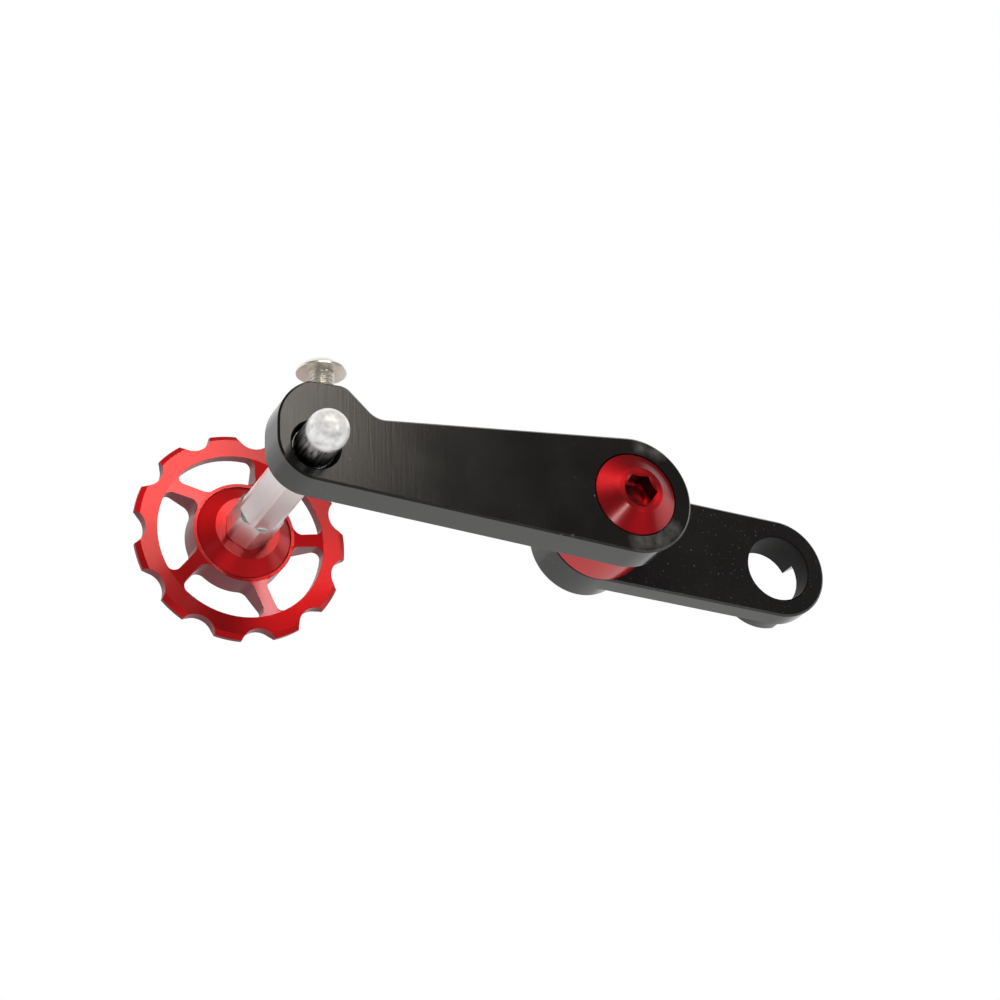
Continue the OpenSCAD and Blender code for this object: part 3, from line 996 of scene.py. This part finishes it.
@dataclass
class ClampScrew(Part):
    """The button-head screw that clamps the rod, with its cut thread.

    The thread runs into the head by sunk. At the tip it starts at tip_share
    of its radius and is full after lead_turns turns. Its flanks are steeper
    than a plain wave by crest_gain, and crest_cut leaves its root flat.
    """

    thread_r: float = 2.5
    thread_root_r: float = 2.03
    thread_pitch: float = 0.8
    head_h: float = 2.75
    sunk: float = 0.3
    tip_share: float = 0.72
    lead_turns: float = 1.6
    crest_gain: float = 1.35
    crest_cut: float = 0.12
    columns: int = 48
    rows_a_turn: int = 12
    sharp_deg: float = 30.0

    def build(self) -> None:
        """Build the screw's head and thread as one piece and dress it."""
        low, high = (Vector(p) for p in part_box("clamp_screw"))
        axis = (low + high) / 2
        under = high.z - self.head_h * MM
        mesh = bpy.data.meshes.new("clamp_screw_cut")
        work = bmesh.new()
        self._keep_head(work, under)
        self._add_thread(work, axis, low.z, under)
        work.to_mesh(mesh)
        work.free()
        shade_by_angle(mesh, self.sharp_deg)
        piece = self.stand_in("clamp_screw", mesh, "threaded")
        dress(piece, STAINLESS.material())

    def _keep_head(self, work: bmesh.types.BMesh, under: float) -> None:
        """Copy the CAD screw's head and leave out its plain shank.

        Args:
            work: The mesh to add to.
            under: The height of the head's underside, in metres.
        """
        source = bmesh.new()
        source.from_mesh(self.node("clamp_screw").data)
        bmesh.ops.remove_doubles(source, verts=source.verts, dist=WELD * MM)
        limit = under - ON_PLANE * MM
        shank = [v for v in source.verts if v.co.z < limit]
        bmesh.ops.delete(source, geom=shank, context="VERTS")
        spare = bpy.data.meshes.new("screw_head")
        points = [v.co.copy() for v in source.verts]
        source.verts.index_update()
        spare.from_pydata(points, [], [[v.index for v in f.verts] for f in source.faces])
        source.free()
        work.from_mesh(spare)
        bpy.data.meshes.remove(spare)
        rim = [e for e in work.edges if e.is_boundary]
        bmesh.ops.holes_fill(work, edges=rim, sides=0)

    def _add_thread(
        self, work: bmesh.types.BMesh, axis: Vector, tip: float, under: float
    ) -> None:
        """Add a right-hand thread from the tip up to the head.

        Args:
            work: The mesh to add to.
            axis: A point on the screw's axis.
            tip: The height of the tip, in metres.
            under: The height of the head's underside, in metres.
        """
        pitch = self.thread_pitch * MM
        depth = (self.thread_r - self.thread_root_r) * MM
        root = self.thread_root_r * MM
        top = under + self.sunk * MM
        rows = math.ceil((top - tip) / pitch * self.rows_a_turn)
        grid = []
        for row in range(rows + 1):
            z = tip + (top - tip) * row / rows
            lead = min(1.0, self.tip_share + (z - tip) / (self.lead_turns * pitch))
            ring = []
            for column in range(self.columns):
                turn = column / self.columns
                wave = 1 - abs(2 * ((z - tip) / pitch - turn) % 2 - 1)
                crest = min(1.0, max(0.0, wave * self.crest_gain - self.crest_cut))
                radius = min(root + depth * crest, self.thread_r * MM * lead)
                angle = turn * 2 * math.pi
                spot = (
                    axis.x + radius * math.cos(angle),
                    axis.y + radius * math.sin(angle),
                    z,
                )
                ring.append(work.verts.new(spot))
            grid.append(ring)
        for lower, upper in zip(grid, grid[1:]):
            for i in range(self.columns):
                after = (i + 1) % self.columns
                work.faces.new((lower[i], lower[after], upper[after], upper[i]))
        work.faces.new(grid[0][::-1])
        work.faces.new(grid[-1])


@dataclass
class SlidingAxle(Part):
    """The hexagonal rod, its spacer, and the bolt that holds the wheel.

    The rod's polish starts at polish_y, and its blasted dome at dome_y.
    """

    polish_y: float = -28.0
    dome_y: float = -28.85

    def build(self) -> None:
        """Dress the rod, the spacer, the washer and the bolt."""
        axis = centre_of("hex_spacer")
        # Aluminium, drawn to a hexagon and turned at its end: nearly white, with
        # satin lines along the rod, and a painted reflection of the bore as dark
        # streaks near the end.
        rod = PolishedEndFinish(
            name="drawn_aluminium_with_painted_reflection",
            colour="#F0EFEE",
            cloud_colour="#DCDBDA",
            speck_colour="#9A9A9B",
            roughness=0.33,
            roughness_spread=0.05,
            lay=Lay.ALONG_Y,
            mark_spacing=0.3,
            mark_depth=0.012,
            speck_amount=0.3,
            centre=(axis.x, 0.0, axis.z),
            polish_from=self.polish_y,
        )
        drawn = rod.material()
        bar = self.smooth_copy("axle_rod")
        dress(bar, drawn)
        bar.data.materials.append(BLASTED_END.material())
        dome = len(bar.data.materials) - 1
        for face in bar.data.polygons:
            if face.center.y < self.dome_y * MM:
                face.material_index = dome
        dress(self.node("hex_spacer"), drawn)
        steel = STAINLESS.material()
        dress(self.node("bolt_washer"), steel)
        dress(self.node("wheel_bolt"), steel)


@dataclass
class JockeyWheel(Part):
    """The toothed wheel and its two conical caps.

    The spokes are drawn up from the rim's thickness to nearly the hub's
    width, less hub_step on each side, and the hub's recess closes in on the
    caps' edge. They start at root_share of the rim's inner radius, where the
    points on that radius are more than spoke_gap_deg apart.
    """

    tone: str = "#EA181E"
    edge: float = 0.12
    sharp_deg: float = 11.0
    rim_t: float = 2.3
    rim_in_r: float = 17.1
    root_share: float = 0.985
    hub_w: float = 6.0
    hub_r: float = 10.35
    hub_step: float = 0.2
    recess_r: float = 9.83
    recess_lip_r: float = 9.68
    spoke_gap_deg: float = 9.0
    cut_near: float = 0.002
    recess_near: float = 0.02
    rim_near: float = 0.1

    def build(self) -> None:
        """Shade the wheel smooth and dress it, its cut walls in a darker copy as painted shade, and its
        caps.
        """
        axis = centre_of("front_cap")
        finish = red_turned("red_anodised_turned_wheel", axis, self.tone, self.edge)
        red = finish.material()
        wheel = self.smooth_copy("jockey_wheel", self.sharp_deg)
        middle = Vector((axis.x, centre_of("jockey_wheel").y, axis.z))
        self._taper_spokes(wheel.data, middle)
        shade_by_angle(wheel.data, self.sharp_deg)
        dress(wheel, red)
        past_teeth = 2 * self.rim_in_r
        # The walls get a darker copy of the red: painted shade.
        dress_bore(wheel, axis, past_teeth, RED_WALLS_SHADE.material())
        for name in ("front_cap", "rear_cap"):
            dress(self.node(name), red)

    def _taper_spokes(self, mesh: bpy.types.Mesh, middle: Vector) -> None:
        """Draw the spokes up to the hub and the recess in to the caps.

        Args:
            mesh: The wheel's mesh, changed in place.
            middle: The middle of the wheel, in metres.
        """
        work = bmesh.new()
        work.from_mesh(mesh)
        rise = (self.hub_w - self.rim_t) / 2 - self.hub_step
        root = self.rim_in_r * self.root_share
        for side in (-1, 1):
            level = middle.y + side * self.rim_t / 2 * MM
            flat = self._faces_at(work, level)
            bmesh.ops.triangulate(work, faces=flat)
            for way in self._spoke_roots(self._faces_at(work, level), middle):
                flat = self._faces_at(work, level)
                edges = list({e for f in flat for e in f.edges})
                points = list({v for f in flat for v in f.verts})
                bmesh.ops.bisect_plane(
                    work,
                    geom=flat + edges + points,
                    dist=self.cut_near * MM,
                    plane_co=middle + way * root * MM,
                    plane_no=way,
                )
            bmesh.ops.triangulate(work, faces=self._faces_at(work, level))
            for point in {v for f in self._faces_at(work, level) for v in f.verts}:
                far = self._radius(point.co, middle)
                share = (root - far) / (root - self.hub_r)
                point.co.y += side * rise * min(1.0, max(0.0, share)) * MM
        for point in work.verts:
            far = self._radius(point.co, middle)
            if abs(far - self.recess_r) < self.recess_near:
                out = point.co - middle
                shrink = self.recess_lip_r / far
                point.co.x = middle.x + out.x * shrink
                point.co.z = middle.z + out.z * shrink
        work.to_mesh(mesh)
        work.free()

    def _radius(self, spot: Vector, middle: Vector) -> float:
        """Give how far a point lies from the wheel's axis, in millimetres."""
        return math.hypot(spot.x - middle.x, spot.z - middle.z) / MM

    def _faces_at(self, work: bmesh.types.BMesh, level: float) -> list[bmesh.types.BMFace]:
        """Give the faces that lie flat at a depth along the axis.

        Args:
            work: The wheel's mesh.
            level: The depth, in metres.

        Returns:
            The faces with every point at that depth.
        """
        near = ON_PLANE * MM
        return [f for f in work.faces if all(abs(v.co.y - level) < near for v in f.verts)]

    def _spoke_roots(self, flat: list[bmesh.types.BMFace], middle: Vector) -> list[Vector]:
        """Find the ways from the axis to where the spokes meet the rim.

        Args:
            flat: The faces of the rim and the spokes on one side.
            middle: The middle of the wheel.

        Returns:
            One direction for each spoke, found as a gap in the points that
            lie on the rim's inner edge.
        """
        spots = {v.co.copy().freeze() for f in flat for v in f.verts}
        edge = sorted(
            math.degrees(math.atan2(spot.z - middle.z, spot.x - middle.x))
            for spot in spots
            if abs(self._radius(spot, middle) - self.rim_in_r) < self.rim_near
        )
        ways = []
        for here, after in zip(edge, edge[1:] + [edge[0] + 360]):
            if after - here > self.spoke_gap_deg:
                angle = math.radians((here + after) / 2)
                ways.append(Vector((math.cos(angle), 0.0, math.sin(angle))))
        LOG.info("found %d spokes", len(ways))
        return ways


@dataclass
class WheelBearing(Part):
    """The ball bearing inside the wheel's hub."""

    def build(self) -> None:
        """Dress the races, the balls, the cage and the shields."""
        steel = STEEL_GROUND.material()
        for name in (
            "inner_race",
            "outer_race",
            "bearing_balls",
            "front_shield",
            "rear_shield",
        ):
            dress(self.node(name), steel)
        dress(self.node("ball_cage"), BRONZE.material())


@dataclass
class Lamp:
    """A soft lamp, placed in millimetres and turned to a point.

    Its width and height are millimetres too, and its brightness is how it
    looks in a mirror, where 1 is white.
    """

    name: str
    place: tuple[float, float, float]
    aim: tuple[float, float, float]
    width: float
    height: float
    brightness: float
    colour: str = "#FFFFFF"

    def build(self) -> None:
        """Make the lamp and turn it to its aim."""
        light = bpy.data.lights.new(self.name, "AREA")
        light.shape = "RECTANGLE"
        light.size = self.width * MM
        light.size_y = self.height * MM
        light.energy = self.brightness * math.pi * light.size * light.size_y
        light.color = linear(self.colour)[:3]
        lamp = bpy.data.objects.new(self.name, light)
        lamp.location = Vector(self.place) * MM
        way = (Vector(self.aim) - Vector(self.place)).normalized()
        lamp.rotation_mode = "QUATERNION"
        lamp.rotation_quaternion = way.to_track_quat("-Z", "Y")
        bpy.context.scene.collection.objects.link(lamp)
        LOG.info("placed lamp %s", self.name)


@dataclass
class Studio:
    """The plain pale room: floor, soft lamps, white background and camera.

    The photograph looks up at the part from below its left end, so the
    floor lies well below the camera and isn't in its view.
    """

    floor_drop: float = 330.0
    floor_width: float = 4000.0
    camera_place: tuple[float, float, float] = (-246.51, -416.48, -200.40)
    camera_azimuth: float = -24.201
    camera_rise: float = 24.560
    camera_roll: float = -1.966
    lens: float = 91.49
    sensor: float = 36.0
    nearest: float = 20.0
    part_middle: tuple[float, float, float] = (-70.0, 0.0, 0.0)
    room_light: float = 0.75
    floor_colour: str = "#E9E9E8"
    floor_rough: float = 0.9
    floor_glow: float = 0.15
    screen_colour: str = "#474747"
    screen_far: float = 900.0
    screen_near: float = 180.0
    screen_wide: float = 2000.0
    screen_left: float = -1260.0
    screen_lift: float = 5.0

    def build(self) -> None:
        """Make the room, the lamps and the camera."""
        bpy.context.scene.view_settings.view_transform = "Standard"
        self._world()
        self._floor()
        self._dark_screens()
        self._lamps()
        self._camera()

    def _world(self) -> None:
        """Light the room evenly and show white to the camera and in gloss."""
        world = bpy.data.worlds.new("white_room")
        world.use_nodes = True
        tree = world.node_tree
        tree.nodes.clear()
        strength = add_node(
            tree,
            "MapRange",
            {"Value": self._seen(tree), "To Min": self.room_light, "To Max": 1.0},
        )
        light = add_node(tree, "Background", {"Strength": strength.outputs["Result"]})
        light.inputs["Color"].default_value = (1.0, 1.0, 1.0, 1.0)
        add_node(tree, "OutputWorld", {"Surface": light.outputs["Background"]})
        bpy.context.scene.world = world

    def _seen(self, tree: Tree) -> Socket:
        """Give 1 for rays that show a surface to the eye, else 0.

        Args:
            tree: The node tree to add to.

        Returns:
            The socket, 1 for camera, glossy and transmission rays.
        """
        path = add_node(tree, "LightPath")
        seen = path.outputs["Is Camera Ray"]
        for kind in ("Is Glossy Ray", "Is Transmission Ray"):
            seen = add_node(
                tree, "Math", {0: seen, 1: path.outputs[kind]}, operation="MAXIMUM"
            ).outputs[0]
        return seen

    def _floor(self) -> None:
        """Lay the pale floor below the camera."""
        half = self.floor_width * MM / 2
        z = -self.floor_drop * MM
        mesh = bpy.data.meshes.new("floor")
        corners = [(-half, -half, z), (half, -half, z), (half, half, z), (-half, half, z)]
        mesh.from_pydata(corners, [], [(0, 1, 2, 3)])
        floor = bpy.data.objects.new("floor", mesh)
        bpy.context.scene.collection.objects.link(floor)
        paint = bpy.data.materials.new("pale_matt_floor")
        paint.use_nodes = True
        tree = paint.node_tree
        tree.nodes.clear()
        seen = self._seen(tree)
        glow = add_node(tree, "Math", {0: seen, 1: self.floor_glow}, operation="MULTIPLY")
        shader = add_node(
            tree,
            "BsdfPrincipled",
            {
                "Base Color": linear(self.floor_colour),
                "Roughness": self.floor_rough,
                "Emission Color": (1.0, 1.0, 1.0, 1.0),
                "Emission Strength": glow.outputs[0],
            },
        )
        add_node(tree, "OutputMaterial", {"Surface": shader.outputs["BSDF"]})
        mesh.materials.append(paint)

    def _dark_screens(self) -> None:
        """Stand dark screens on the viewer's side, seen only in gloss.

        They give the shiny faces something dark to show, as the unlit side
        of a real room does.
        """
        far = self.screen_far * MM
        near = self.screen_near * MM
        wide = self.screen_wide * MM
        left = self.screen_left * MM
        low = -self.floor_drop * MM
        lower = low + self.screen_lift * MM
        sides = {
            "front": [(-wide, -far, low), (wide, -far, low), (wide, -far, far), (-wide, -far, far)],
            "top": [(-wide, -far, far), (wide, -far, far), (wide, near, far), (-wide, near, far)],
            "low": [(-far, -far, lower), (far, -far, lower), (far, -near, lower), (-far, -near, lower)],
            "left": [(left, -far, low), (left, -near, low), (left, -near, far), (left, -far, far)],
        }
        paint = bpy.data.materials.new("dark_matt_screen")
        paint.use_nodes = True
        tree = paint.node_tree
        tree.nodes.clear()
        glow = add_node(
            tree, "Emission", {"Color": linear(self.screen_colour), "Strength": 1.0}
        )
        add_node(tree, "OutputMaterial", {"Surface": glow.outputs["Emission"]})
        for side, corners in sides.items():
            mesh = bpy.data.meshes.new(side + "_screen")
            mesh.from_pydata(corners, [], [(0, 1, 2, 3)])
            mesh.materials.append(paint)
            screen = bpy.data.objects.new(side + "_screen", mesh)
            bpy.context.scene.collection.objects.link(screen)
            screen.visible_camera = False
            screen.visible_diffuse = False
            screen.visible_shadow = False

    def _lamps(self) -> None:
        """Place the soft lamps: a big one above and two small ones lower down."""
        Lamp(
            name="soft_box",
            place=(-137.0, -560.0, 450.0),
            aim=(-137.0, 0.0, 450.0),
            width=480.0,
            height=400.0,
            brightness=4.2,
            colour="#FFF6EA",
        ).build()
        Lamp(
            name="side_lamp",
            place=(212.0, -560.0, -56.0),
            aim=self.part_middle,
            width=70.0,
            height=90.0,
            brightness=18.0,
        ).build()
        Lamp(
            name="near_lamp",
            place=(-216.0, -537.0, -257.0),
            aim=self.part_middle,
            width=40.0,
            height=40.0,
            brightness=40.0,
        ).build()

    def _camera(self) -> None:
        """Place the camera where the photograph was taken from."""
        data = bpy.data.cameras.new("photo_camera")
        data.lens = self.lens
        data.sensor_width = self.sensor
        data.clip_start = self.nearest * MM
        camera = bpy.data.objects.new("photo_camera", data)
        a = math.radians(self.camera_azimuth)
        e = math.radians(self.camera_rise)
        way = Vector((-math.sin(a) * math.cos(e), math.cos(a) * math.cos(e), math.sin(e)))
        turn = way.to_track_quat("-Z", "Y").to_matrix().to_4x4()
        roll = Matrix.Rotation(math.radians(self.camera_roll), 4, "Z")
        camera.matrix_world = (
            Matrix.Translation(Vector(self.camera_place) * MM) @ turn @ roll
        )
        bpy.context.scene.collection.objects.link(camera)
        bpy.context.scene.camera = camera


def main() -> None:
    """Load the frame, build each sub-assembly in order, and set up the studio."""
    logging.basicConfig(level=logging.INFO, format="%(message)s")
    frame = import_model()
    parts = (HangerLink, PivotStack, SprungArm, ClampScrew, SlidingAxle, JockeyWheel, WheelBearing)
    for part in parts:
        part(frame).build()
        LOG.info("built %s", part.__name__)
    Studio().build()


if __name__ == "__main__":
    main()
